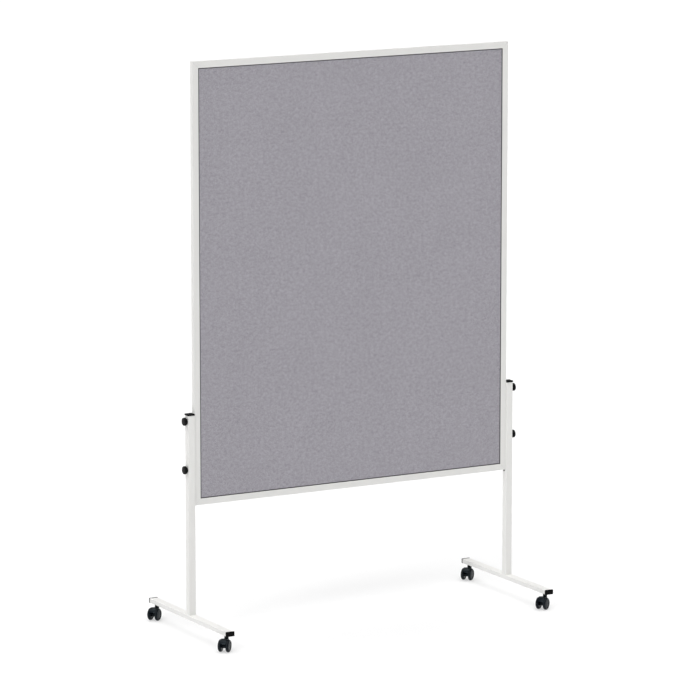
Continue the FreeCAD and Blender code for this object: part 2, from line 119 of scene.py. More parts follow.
class NodeWriter:
    """Short calls for adding and linking the nodes of one tree.

    Attributes:
        MIX_INPUTS: a Mix node's inputs for the share and the two colours.
        MIX_RESULT: a Mix node's output for the mixed colour.
    """

    MIX_INPUTS = (0, 6, 7)
    MIX_RESULT = 2

    def __init__(self, tree: bpy.types.NodeTree) -> None:
        """Keeps the tree and empties it."""
        self.tree = tree
        self.tree.nodes.clear()

    def feed(self, node: Node, values: Values) -> None:
        """Sets or links a node's inputs.

        Args:
            node: the node.
            values: constants or sockets, by the input's name or number.
        """
        for key, value in values.items():
            if isinstance(value, Socket):
                self.tree.links.new(value, node.inputs[key])
            else:
                node.inputs[key].default_value = value

    def add(self, kind: str, values: Values | None = None, **attributes: object) -> Node:
        """Adds one node.

        Args:
            kind: the node's type name.
            values: constants or sockets for the node's inputs, by name or number.
            attributes: settings of the node itself.

        Returns:
            The new node.
        """
        node = self.tree.nodes.new(kind)
        for name, value in attributes.items():
            setattr(node, name, value)
        self.feed(node, values or {})
        return node

    def math(self, operation: str, *values: SocketValue, clamp: bool = False) -> Socket:
        """Adds a Math node.

        Args:
            operation: the name of the operation.
            values: up to three operands.
            clamp: whether the result stays between 0 and 1.

        Returns:
            The result's socket.
        """
        node = self.add("ShaderNodeMath", dict(enumerate(values)), operation=operation,
                        use_clamp=clamp)
        return node.outputs[0]

    def noise(self, vector: Socket, cells: SocketValue, detail: float = 2.0,
              roughness: float = 0.5, output: str = "Fac") -> Socket:
        """Adds a Noise Texture node.

        Args:
            vector: the coordinates.
            cells: cells in a metre.
            detail: octaves.
            roughness: weight of the finer octaves.
            output: which of the node's outputs is wanted.

        Returns:
            The output's socket.
        """
        node = self.add("ShaderNodeTexNoise", {"Vector": vector, "Scale": cells, "Detail": detail,
                                               "Roughness": roughness})
        return node.outputs[output]

    def mapping(self, vector: Socket, values: Values, kind: str = "POINT") -> Socket:
        """Adds a Mapping node.

        Args:
            vector: the coordinates.
            values: its location, rotation or scale.
            kind: POINT moves the coordinates, TEXTURE moves the pattern.

        Returns:
            Socket of the changed coordinates.
        """
        node = self.add("ShaderNodeMapping", {"Vector": vector, **values}, vector_type=kind)
        return node.outputs[0]

    def remap(self, value: Socket, low: float, high: float, to_low: float = 0.0,
              to_high: float = 1.0, smooth: bool = False) -> Socket:
        """Maps a value from one range to another and keeps it inside.

        Args:
            value: the value.
            low: start of the range that is read.
            high: end of the range that is read.
            to_low: result at the start.
            to_high: result at the end.
            smooth: whether the ramp eases in and out.

        Returns:
            The mapped value's socket.
        """
        node = self.add("ShaderNodeMapRange",
                        {"Value": value, "From Min": low, "From Max": high,
                         "To Min": to_low, "To Max": to_high},
                        interpolation_type="SMOOTHSTEP" if smooth else "LINEAR", clamp=True)
        return node.outputs[0]

    def blend(self, share: Socket, first: SocketValue, second: SocketValue) -> Socket:
        """Mixes two colours.

        Args:
            share: share of the second colour.
            first: colour at share 0.
            second: colour at share 1.

        Returns:
            The mixed colour's socket.
        """
        colours = ((*colour, 1.0) if isinstance(colour, tuple) else colour
                   for colour in (first, second))
        values = dict(zip(self.MIX_INPUTS, (share, *colours)))
        return self.add("ShaderNodeMix", values, data_type="RGBA").outputs[self.MIX_RESULT]

    def place(self) -> Socket:
        """Object coordinates, in metres."""
        return self.add("ShaderNodeTexCoord").outputs["Object"]

    def split(self, vector: Socket) -> bpy.types.NodeOutputs:
        """The three coordinates of a vector, as sockets X, Y and Z."""
        return self.add("ShaderNodeSeparateXYZ", {0: vector}).outputs


class EffectLibrary:
    """Shader node groups for the shared effects, each built once.

    Attributes:
        CLOUDS: the part of a soft noise's range that is used.
        LIGHT_LAYS: layers of light strands: turn in degrees, and length in strand widths.
        DARK_LAYS: layers of dark strands, likewise.
        STRAND_EDGE: the part of a noise's range that is the soft edge of a strand.
        SWING: how far the strands swing from their line, in each direction.
        CLUMP_SHAPE: squeeze of the coordinates that makes the clumps wider than high.
        CLUMP_TONE: share of the clumps in the tone.
        STRAND_TONE: share of the strands in the tone.
        TONES: the part of the tone's range that is used.
        LAID_LOW: height of a dark strand, where a light one is 1.
        RISE: share of clumps and of strands in the height.
        FINE_CELLS: fine ripples to each ripple of a coat.
        FINE_RISE: height of the fine ripples, where a ripple is 1.
        PIT_SOFTNESS: how far the pits of a grain run into each other.
        COARSE_CELLS: coarse bumps to each pit of a grain.
        COARSE_RISE: height of the coarse bumps, where a pit is 1.
        FACING_UP: upward shares of the normal, from which dust settles and where it is full.
        SPECKS: the part of a noise's range that is dust.
    """

    CLOUDS = (0.3, 0.7)
    LIGHT_LAYS = ((8.0, 22.0), (67.0, 26.0), (-38.0, 18.0))
    DARK_LAYS = ((31.0, 20.0), (112.0, 24.0), (-71.0, 19.0))
    STRAND_EDGE = (0.53, 0.64)
    SWING = (6 * MM, 6 * MM, 6 * MM)
    CLUMP_SHAPE = (0.75, 1.0, 1.0)
    CLUMP_TONE = 1.15
    STRAND_TONE = 0.5
    TONES = (0.175, 0.975)
    LAID_LOW = 0.5
    RISE = 0.6
    FINE_CELLS = 5.5
    FINE_RISE = 0.18
    PIT_SOFTNESS = 0.6
    COARSE_CELLS = 0.4
    COARSE_RISE = 0.5
    FACING_UP = (0.2, 0.95)
    SPECKS = (0.42, 0.72)

    def __init__(self) -> None:
        """Starts with no group built."""
        self.built: dict[Effect, bpy.types.NodeTree] = {}
        self.makers = {
            Effect.FIBRES: self._fibres,
            Effect.PEEL: self._peel,
            Effect.GRAIN: self._grain,
            Effect.DUST: self._dust,
        }

    def place(self, writer: NodeWriter, effect: Effect, **values: SocketValue) -> Node:
        """Places an effect in a material.

        Args:
            writer: the material's tree.
            effect: which effect.
            values: the effect's own values, by input name.

        Returns:
            The group node.
        """
        if effect not in self.built:
            self.built[effect] = self.makers[effect](effect.value)
        return writer.add("ShaderNodeGroup", values, node_tree=self.built[effect])

    @staticmethod
    def _open(name: str, inputs: dict[str, float], outputs: tuple[str, ...]
              ) -> tuple[NodeWriter, bpy.types.NodeOutputs, Node]:
        """Starts a group with its sockets.

        Args:
            name: the group's name.
            inputs: names of its values beside the coordinates, with their usual values.
            outputs: names of the values that the group puts out.

        Returns:
            The group's writer, the sockets of its inputs, and its output node.
        """
        group = bpy.data.node_groups.new(name, "ShaderNodeTree")
        group.interface.new_socket(name="Vector", in_out="INPUT", socket_type="NodeSocketVector")
        for title, value in inputs.items():
            socket = group.interface.new_socket(name=title, in_out="INPUT",
                                                socket_type="NodeSocketFloat")
            socket.default_value = value
        for title in outputs:
            group.interface.new_socket(name=title, in_out="OUTPUT", socket_type="NodeSocketFloat")
        writer = NodeWriter(group)
        return writer, writer.add("NodeGroupInput").outputs, writer.add("NodeGroupOutput")

    def _fibres(self, name: str) -> bpy.types.NodeTree:
        """Matted fibres that lie in all directions of the XZ plane.

        Args:
            name: the group's name.

        Returns:
            The group, with Tone and Height outputs.
        """
        writer, given, result = self._open(name, {"Fibre": 2600.0, "Clump": 115.0},
                                           ("Tone", "Height"))
        drift = writer.noise(given["Vector"], given["Clump"], output="Color")
        swing = writer.add("ShaderNodeVectorMath", {0: drift, 1: self.SWING}, operation="MULTIPLY")
        wavy = writer.add("ShaderNodeVectorMath", {0: given["Vector"], 1: swing.outputs[0]},
                          operation="ADD")
        light, dark = (self._strands(writer, wavy.outputs[0], given["Fibre"], lays)
                       for lays in (self.LIGHT_LAYS, self.DARK_LAYS))
        spread = writer.mapping(given["Vector"], {"Scale": self.CLUMP_SHAPE})
        clump = writer.noise(spread, given["Clump"], detail=4.0, roughness=0.6)
        mixed = writer.math("MULTIPLY", writer.math("SUBTRACT", light, dark), self.STRAND_TONE)
        tone = writer.math("MULTIPLY_ADD", clump, self.CLUMP_TONE, mixed)
        strands = writer.math("MULTIPLY_ADD", dark, self.LAID_LOW, light)
        raised = writer.math("MULTIPLY", strands, self.RISE)
        writer.feed(result, {"Tone": writer.remap(tone, *self.TONES),
                             "Height": writer.math("MULTIPLY_ADD", clump, self.RISE, raised)})
        return writer.tree

    def _strands(self, writer: NodeWriter, vector: Socket, fibre: Socket,
                 lays: tuple[Range, ...]) -> Socket:
        """Layers of long thin strands in the XZ plane.

        Args:
            writer: the group's tree.
            vector: the coordinates.
            fibre: strands side by side in a metre.
            lays: each layer's turn in degrees, and its strands' length in strand widths.

        Returns:
            Socket of the uppermost strand, from 0 to 1.
        """
        upper = None
        for turn, length in lays:
            laid = writer.mapping(vector, {"Rotation": (0.0, math.radians(turn), 0.0),
                                           "Scale": (length, 1.0, 1.0)}, kind="TEXTURE")
            spread = writer.noise(laid, fibre, detail=1.0, roughness=0.4)
            strand = writer.remap(spread, *self.STRAND_EDGE, smooth=True)
            upper = strand if upper is None else writer.math("MAXIMUM", upper, strand)
        return upper

    def _peel(self, name: str) -> bpy.types.NodeTree:
        """Low ripples of a stove-enamelled coat.

        Args:
            name: the group's name.

        Returns:
            The group, with Height and Cloud outputs.
        """
        writer, given, result = self._open(name, {"Ripple": 520.0, "Clouding": 7.0},
                                           ("Height", "Cloud"))
        ripple = writer.noise(given["Vector"], given["Ripple"], detail=1.5, roughness=0.35)
        fine_cells = writer.math("MULTIPLY", given["Ripple"], self.FINE_CELLS)
        fine = writer.noise(given["Vector"], fine_cells)
        cloud = writer.noise(given["Vector"], given["Clouding"], detail=3.0, roughness=0.55)
        writer.feed(result, {"Height": writer.math("MULTIPLY_ADD", fine, self.FINE_RISE, ripple),
                             "Cloud": writer.remap(cloud, *self.CLOUDS)})
        return writer.tree

    def _grain(self, name: str) -> bpy.types.NodeTree:
        """Fine spark-eroded grain of moulded plastic.

        Args:
            name: the group's name.

        Returns:
            The group, with Height and Tone outputs.
        """
        writer, given, result = self._open(name, {"Pits": 2600.0, "Flow": 60.0},
                                           ("Height", "Tone"))
        pits = writer.add("ShaderNodeTexVoronoi",
                          {"Vector": given["Vector"], "Scale": given["Pits"],
                           "Smoothness": self.PIT_SOFTNESS},
                          feature="SMOOTH_F1").outputs["Distance"]
        coarse_cells = writer.math("MULTIPLY", given["Pits"], self.COARSE_CELLS)
        coarse = writer.noise(given["Vector"], coarse_cells, detail=3.0)
        flow = writer.noise(given["Vector"], given["Flow"], detail=3.0, roughness=0.6)
        writer.feed(result, {"Height": writer.math("MULTIPLY_ADD", coarse, self.COARSE_RISE, pits),
                             "Tone": writer.remap(flow, *self.CLOUDS)})
        return writer.tree

    def _dust(self, name: str) -> bpy.types.NodeTree:
        """Thin dust that settles on what faces up.

        Args:
            name: the group's name.

        Returns:
            The group, with Mask and Upward outputs; Upward also places the painted top light of a
            coat.
        """
        writer, given, result = self._open(name, {"Amount": 0.3, "Specks": 900.0},
                                           ("Mask", "Upward"))
        normal = writer.add("ShaderNodeTexCoord").outputs["Normal"]
        upward = writer.remap(writer.split(normal)["Z"], *self.FACING_UP, smooth=True)
        specks = writer.noise(given["Vector"], given["Specks"], detail=4.0, roughness=0.7)
        settled = writer.math("MULTIPLY", upward, writer.remap(specks, *self.SPECKS))
        writer.feed(result, {"Mask": writer.math("MULTIPLY", settled, given["Amount"]),
                             "Upward": upward})
        return writer.tree


EFFECTS = EffectLibrary()


@dataclass(frozen=True)
class Finish:
    """A surface finish that is built as one node material.

    Attributes:
        name: the material's name.
        colour: main colour, linear.
        roughness: middle of the roughness range.
        shades: shares of the main colour where the surface is darkest and palest.
        swing: changes of the roughness at the two ends of its range.
        specular: specular level of the surface.
        depth: height of the relief.
        strength: share of the relief that shows.
    """

    name: str
    colour: Colour
    roughness: float
    shades: Range = (1.0, 1.0)
    swing: Range = (0.0, 0.0)
    specular: float = 0.5
    depth: float = 0.0
    strength: float = 0.0

    def material(self) -> bpy.types.Material:
        """Builds the material, or finds one of its name: built before, or the frame's own.

        Returns:
            The material.
        """
        found = bpy.data.materials.get(self.name)
        if found is not None:
            return found
        made = bpy.data.materials.new(self.name)
        made.use_nodes = True
        writer = NodeWriter(made.node_tree)
        shader = writer.add("ShaderNodeBsdfPrincipled", {"Specular IOR Level": self.specular})
        self.write(writer, shader)
        writer.add("ShaderNodeOutputMaterial", {"Surface": shader.outputs[0]})
        return made

    def write(self, writer: NodeWriter, shader: Node) -> None:
        """Links the finish's nodes to its shader; each kind of finish has its own."""
        raise NotImplementedError

    def shaded(self, share: float) -> Colour:
        """The main colour, darker or paler by a share."""
        red, green, blue = self.colour
        return red * share, green * share, blue * share

    def clouded(self, writer: NodeWriter, share: Socket) -> Socket:
        """The main colour, which goes from its dark to its pale shade with a share."""
        return writer.blend(share, *(self.shaded(shade) for shade in self.shades))

    def gloss(self, writer: NodeWriter, value: Socket, low: float = 0.0,
              high: float = 1.0) -> Socket:
        """Roughness that swings as a value of the surface goes from low to high."""
        return writer.remap(value, low, high, *(self.roughness + change for change in self.swing))

    def link(self, writer: NodeWriter, shader: Node, tone: Socket, gloss: Socket,
             height: Socket) -> None:
        """Links what changes over the surface to the shader.

        Args:
            writer: the material's tree.
            shader: the Principled node.
            tone: the colour's socket.
            gloss: the roughness's socket.
            height: the relief's socket.
        """
        bump = writer.add("ShaderNodeBump", {"Strength": self.strength, "Distance": self.depth,
                                             "Height": height})
        writer.feed(shader, {"Base Color": tone, "Roughness": gloss, "Normal": bump.outputs[0]})


@dataclass(frozen=True)
class PowderCoat(Finish):
    """White stove-enamelled coat on metal.

    Attributes:
        ripple: ripples of the coat in a metre.
        dust: share of dust on what faces up.
        dust_colour: colour of the dust.
        chalk: how much paler the coat is painted on what faces up, as painted light from above.
    """

    shades: Range = (0.985, 1.01)
    swing: Range = (-0.04, 0.04)
    specular: float = 0.4
    depth: float = 0.06 * MM
    strength: float = 0.35
    ripple: float = 520.0
    dust: float = 0.05
    dust_colour: Colour = (0.55, 0.53, 0.49)
    chalk: float = 1.0

    def write(self, writer: NodeWriter, shader: Node) -> None:
        """Links the coat's tone, gloss and ripples to the shader.

        Args:
            writer: the material's tree.
            shader: the Principled node.
        """
        place = writer.place()
        peel = EFFECTS.place(writer, Effect.PEEL, Vector=place, Ripple=self.ripple).outputs
        dust = EFFECTS.place(writer, Effect.DUST, Vector=place, Amount=self.dust).outputs
        tone = self.clouded(writer, peel["Cloud"])
        # what faces up is painted paler here: painted light on the tops, not a change of the coat
        tone = writer.blend(dust["Upward"], tone, self.shaded(self.chalk))
        tone = writer.blend(dust["Mask"], tone, self.dust_colour)
        tone = self.joint_lines(writer, place, tone)
        self.link(writer, shader, tone, self.gloss(writer, peel["Cloud"]), peel["Height"])

    def joint_lines(self, writer: NodeWriter, place: Socket, tone: Socket) -> Socket:
        """Draws joints in the coat's colour; a plain coat has none."""
        return tone


@dataclass(frozen=True)
class MitredCoat(PowderCoat):
    """White coat on the frame's rails, with the hairline of each mitre.

    Attributes:
        hairline: half the width of the mitre's line.
        line_shade: share of the main colour in the line.
    """

    hairline: float = 0.16 * MM
    line_shade: float = 0.62

    def joint_lines(self, writer: NodeWriter, place: Socket, tone: Socket) -> Socket:
        """Draws a dark hairline along each mitre.

        Args:
            writer: the material's tree.
            place: object coordinates.
            tone: the coat's colour.

        Returns:
            The colour with the hairlines drawn.
        """
        at = writer.split(place)
        across = writer.math("SUBTRACT", FRAME_HIGH.x, writer.math("ABSOLUTE", at["X"]))
        up = writer.math("SUBTRACT", at["Z"], FRAME_LOW.z)
        down = writer.math("SUBTRACT", FRAME_HIGH.z, at["Z"])
        along = writer.math("MINIMUM", up, down)
        away = writer.math("ABSOLUTE", writer.math("SUBTRACT", across, along))
        soft = self.hairline / 2
        line = writer.remap(away, self.hairline - soft, self.hairline + soft, 1.0, 0.0, smooth=True)
        inside = writer.math("LESS_THAN", along, RAIL_FACE)
        joint = writer.math("MULTIPLY", line, inside)
        return writer.blend(joint, tone, self.shaded(self.line_shade))


@dataclass(frozen=True)
class NeedledFelt(Finish):
    """Grey needled felt of mixed light and dark fibres.

    Attributes:
        heights: the part of the fibres' height that the roughness follows.
        clouding: clouds of the tone in a metre.
        drift: how far the share of light fibres drifts in the clouds.
        sheen: weight of the sheen.
        sheen_roughness: roughness of the sheen.
    """

    shades: Range = (0.686, 1.314)
    swing: Range = (0.05, -0.08)
    specular: float = 0.12
    depth: float = 0.5 * MM
    strength: float = 0.5
    heights: Range = (0.3, 1.0)
    clouding: float = 6.0
    drift: float = 0.03
    sheen: float = 0.12
    sheen_roughness: float = 0.6

    def write(self, writer: NodeWriter, shader: Node) -> None:
        """Links the felt's fibres and their relief to the shader.

        Args:
            writer: the material's tree.
            shader: the Principled node.
        """
        place = writer.place()
        fibres = EFFECTS.place(writer, Effect.FIBRES, Vector=place).outputs
        cloud = writer.noise(place, self.clouding, detail=3.0, roughness=0.55)
        drift = writer.remap(cloud, *EFFECTS.CLOUDS, -self.drift, self.drift)
        share = writer.math("ADD", fibres["Tone"], drift, clamp=True)
        gloss = self.gloss(writer, fibres["Height"], *self.heights)
        self.link(writer, shader, self.clouded(writer, share), gloss, fibres["Height"])
        writer.feed(shader, {"Sheen Weight": self.sheen, "Sheen Roughness": self.sheen_roughness})


@dataclass(frozen=True)
class MouldedPlastic(Finish):
    """Black moulded plastic.

    Attributes:
        pits: grain pits in a metre.
        dust: share of dust on what faces up.
        dust_colour: colour of the dust.
        tint: colour of the gloss.
    """

    shades: Range = (0.85, 1.2)
    swing: Range = (-0.05, 0.06)
    specular: float = 0.4
    depth: float = 0.05 * MM
    strength: float = 0.4
    pits: float = 2600.0
    dust: float = 0.12
    dust_colour: Colour = (0.22, 0.21, 0.2)
    tint: Colour = (1.0, 1.0, 1.0)

    def write(self, writer: NodeWriter, shader: Node) -> None:
        """Links the plastic's grain, flow marks and dust to the shader.

        Args:
            writer: the material's tree.
            shader: the Principled node.
        """
        place = writer.place()
        grain = EFFECTS.place(writer, Effect.GRAIN, Vector=place, Pits=self.pits).outputs
        dust = EFFECTS.place(writer, Effect.DUST, Vector=place, Amount=self.dust).outputs
        tone = writer.blend(dust["Mask"], self.clouded(writer, grain["Tone"]), self.dust_colour)
        gloss = self.gloss(writer, grain["Tone"])
        gloss = writer.math("ADD", gloss, dust["Mask"], clamp=True)
        self.link(writer, shader, tone, gloss, grain["Height"])
        writer.feed(shader, {"Specular Tint": (*self.tint, 1.0)})


@dataclass(frozen=True, kw_only=True)
class WheelPlastic(Finish):
    """Black wheel with a scuffed tread and turned rings on its face.

    Attributes:
        axle: a point on the wheel's axis.
        heading: turn of the castor about +Z.
        radius: the wheel's radius.
        tint: colour of the gloss.
        pits: grain pits in a metre.
        tread: from the wheel's radius to where the tread starts, and to where it is full.
        scuffs: scuffs of the tread in a metre.
        scuff_range: the part of a noise's range that is scuffed.
        scuff_share: greatest share of the scuffs' colour.
        scuff_colour: colour of the scuffs.
        worn: how much rougher the tread is.
        ring: spacing of the rings on the face.
        ring_rise: height of the rings, where the grain is 1.
    """

    shades: Range = (0.85, 1.2)
    swing: Range = (-0.05, 0.05)
    specular: float = 0.15
    depth: float = 0.04 * MM
    strength: float = 0.35
    axle: Point
    heading: float
    radius: float
    tint: Colour
    pits: float = 2200.0
    tread: Range = (0.5 * MM, 0.1 * MM)
    scuffs: float = 420.0
    scuff_range: Range = (0.4, 0.7)
    scuff_share: float = 0.55
    scuff_colour: Colour = (0.05, 0.05, 0.05)
    worn: float = 0.25
    ring: float = 0.7 * MM
    ring_rise: float = 0.12

    def write(self, writer: NodeWriter, shader: Node) -> None:
        """Links the wheel's rings, scuffs and grain to the shader.

        Args:
            writer: the material's tree.
            shader: the Principled node.
        """
        own = writer.mapping(writer.place(), {"Location": self.axle,
                                              "Rotation": (0.0, 0.0, self.heading)}, kind="TEXTURE")
        at = writer.split(own)
        squares = [writer.math("POWER", at[axis], 2.0) for axis in "XZ"]
        reach = writer.math("SQRT", writer.math("ADD", *squares))
        grain = EFFECTS.place(writer, Effect.GRAIN, Vector=own, Pits=self.pits).outputs
        start, full = (self.radius - inward for inward in self.tread)
        tread = writer.remap(reach, start, full, smooth=True)
        scuffs = writer.noise(own, self.scuffs, detail=5.0, roughness=0.7)
        scuffed = writer.remap(scuffs, *self.scuff_range, 0.0, self.scuff_share)
        tone = writer.blend(writer.math("MULTIPLY", tread, scuffed),
                            self.clouded(writer, grain["Tone"]), self.scuff_colour)
        gloss = self.gloss(writer, grain["Tone"])
        gloss = writer.math("MULTIPLY_ADD", tread, self.worn, gloss, clamp=True)
        rings = writer.math("SINE", writer.math("MULTIPLY", reach, 2 * math.pi / self.ring))
        height = writer.math("MULTIPLY_ADD", rings, self.ring_rise, grain["Height"])
        self.link(writer, shader, tone, gloss, height)
        writer.feed(shader, {"Specular Tint": (*self.tint, 1.0)})


@dataclass(frozen=True)
class PlatedSteel(Finish):
    """Zinc-plated or blackened steel with a drawn grain.

    Attributes:
        metallic: share of bare metal.
        drawing: squeeze of the coordinates that draws the grain out along Z.
        lines: lines of the grain in a metre.
        clouding: clouds of the plating in a metre.
        clouds: the part of a noise's range that is used for the clouds.
    """

    shades: Range = (0.82, 1.08)
    swing: Range = (-0.1, 0.1)
    depth: float = 0.02 * MM
    strength: float = 0.3
    metallic: float = 1.0
    drawing: Point = (1.0, 1.0, 0.06)
    lines: float = 3800.0
    clouding: float = 260.0
    clouds: Range = (0.35, 0.65)

    def write(self, writer: NodeWriter, shader: Node) -> None:
        """Links the steel's drawn grain and clouded plating to the shader.

        Args:
            writer: the material's tree.
            shader: the Principled node.
        """
        place = writer.place()
        drawn = writer.mapping(place, {"Scale": self.drawing})
        lines = writer.noise(drawn, self.lines, detail=3.0, roughness=0.6)
        cloud = writer.noise(place, self.clouding, detail=4.0, roughness=0.6)
        tone = self.clouded(writer, writer.remap(cloud, *self.clouds))
        self.link(writer, shader, tone, self.gloss(writer, lines, *EFFECTS.CLOUDS), lines)
        writer.feed(shader, {"Metallic": self.metallic})


@dataclass(frozen=True)
class FibreBoard(Finish):
    """Dark pressed fibre board of the panel's core.

    Attributes:
        fibre: fibres side by side in a metre.
        clump: clumps of fibres in a metre.
        heights: the part of the fibres' height that the roughness follows.
    """

    shades: Range = (0.6, 1.5)
    swing: Range = (0.0, -0.1)
    depth: float = 0.3 * MM
    strength: float = 0.5
    fibre: float = 2400.0
    clump: float = 320.0
    heights: Range = (0.3, 1.0)

    def write(self, writer: NodeWriter, shader: Node) -> None:
        """Links the board's chips and fibres to the shader.

        Args:
            writer: the material's tree.
            shader: the Principled node.
        """
        fibres = EFFECTS.place(writer, Effect.FIBRES, Vector=writer.place(), Fibre=self.fibre,
                               Clump=self.clump).outputs
        tone = self.clouded(writer, fibres["Tone"])
        gloss = self.gloss(writer, fibres["Height"], *self.heights)
        self.link(writer, shader, tone, gloss, fibres["Height"])


@dataclass(frozen=True, kw_only=True)
class PaleFloor(Finish):
    """Matt pale studio floor, lit from below as a light table is.

    Attributes:
        glow: strength of its own light.
        clouding: clouds of the tone in a metre.
    """

    shades: Range = (0.995, 1.005)
    specular: float = 0.0
    glow: float
    clouding: float = 0.6

    def write(self, writer: NodeWriter, shader: Node) -> None:
        """Links the floor's faint tone to the shader.

        Args:
            writer: the material's tree.
            shader: the Principled node.
        """
        cloud = writer.noise(writer.place(), self.clouding, detail=3.0)
        writer.feed(shader, {"Base Color": self.clouded(writer, cloud),
                             "Roughness": self.roughness,
                             "Emission Color": WHITE_LIGHT,
                             "Emission Strength": self.glow})


class Bench:
    """Short calls for modelling one piece with operators."""

    @staticmethod
    def clear() -> None:
        """Leaves edit mode and deselects every object."""
        current = bpy.context.view_layer.objects.active
        if current is not None and current.mode != "OBJECT":
            bpy.ops.object.mode_set(mode="OBJECT")
        bpy.ops.object.select_all(action="DESELECT")

    @staticmethod
    def pick(piece: Piece) -> None:
        """Selects one object alone and makes it active.

        Args:
            piece: the object.
        """
        Bench.clear()
        piece.select_set(True)
        bpy.context.view_layer.objects.active = piece

    @staticmethod
    def open() -> None:
        """Takes the active object into edit mode with all of it selected."""
        bpy.ops.object.mode_set(mode="EDIT")
        bpy.ops.mesh.select_all(action="SELECT")

    @staticmethod
    def close() -> None:
        """In edit mode, turns all faces outwards and leaves edit mode."""
        bpy.ops.mesh.select_all(action="SELECT")
        bpy.ops.mesh.normals_make_consistent(inside=False)
        bpy.ops.object.mode_set(mode="OBJECT")

    @staticmethod
    def settle(piece: Piece) -> None:
        """Puts the object's place, turn and scale into its mesh."""
        Bench.pick(piece)
        bpy.ops.object.transform_apply(location=True, rotation=True, scale=True)

    @staticmethod
    def smooth(piece: Piece, degrees: float) -> None:
        """Smooths the edges that are flatter than an angle in degrees."""
        Bench.pick(piece)
        bpy.ops.object.shade_smooth_by_angle(angle=math.radians(degrees))

    @staticmethod
    def copy(piece: Piece) -> Piece:
        """Copies an object, with a mesh of its own.

        Args:
            piece: the object.

        Returns:
            The copy.
        """
        copy = piece.copy()
        copy.data = piece.data.copy()
        bpy.context.scene.collection.objects.link(copy)
        return copy

    @staticmethod
    def modify(piece: Piece, kind: str, **settings: object) -> None:
        """Adds a modifier and applies it.

        Args:
            piece: the object.
            kind: the modifier's type name.
            settings: the modifier's settings.
        """
        Bench.pick(piece)
        modifier = piece.modifiers.new(kind.lower(), kind)
        for name, value in settings.items():
            setattr(modifier, name, value)
        bpy.ops.object.modifier_apply(modifier=modifier.name)

    @staticmethod
    def combine(piece: Piece, other: Piece, operation: str) -> None:
        """Joins another object to a piece or cuts it out, and removes the other.

        Args:
            piece: the object that stays.
            other: the object that is used up.
            operation: UNION or DIFFERENCE.
        """
        Bench.modify(piece, "BOOLEAN", operation=operation, object=other, solver="EXACT")
        bpy.data.objects.remove(other)

    @staticmethod
    def choose_faces(piece: Piece, height: float) -> None:
        """In edit mode, selects the faces whose middle lies at a height of local Z.

        Args:
            piece: the object in edit mode.
            height: the height.
        """
        bpy.ops.mesh.select_all(action="DESELECT")
        bpy.ops.object.mode_set(mode="OBJECT")
        for face in piece.data.polygons:
            face.select = abs(face.center.z - height) <= TOLERANCE
        bpy.ops.object.mode_set(mode="EDIT")

    @staticmethod
    def step(rise: float, spread: float) -> None:
        """In edit mode, extrudes the selected face along Z and scales its new edge about Z."""
        bpy.ops.mesh.extrude_region_move(TRANSFORM_OT_translate={"value": (0.0, 0.0, rise)})
        bpy.ops.transform.resize(value=(spread, spread, 1.0), center_override=(0.0, 0.0, 0.0))


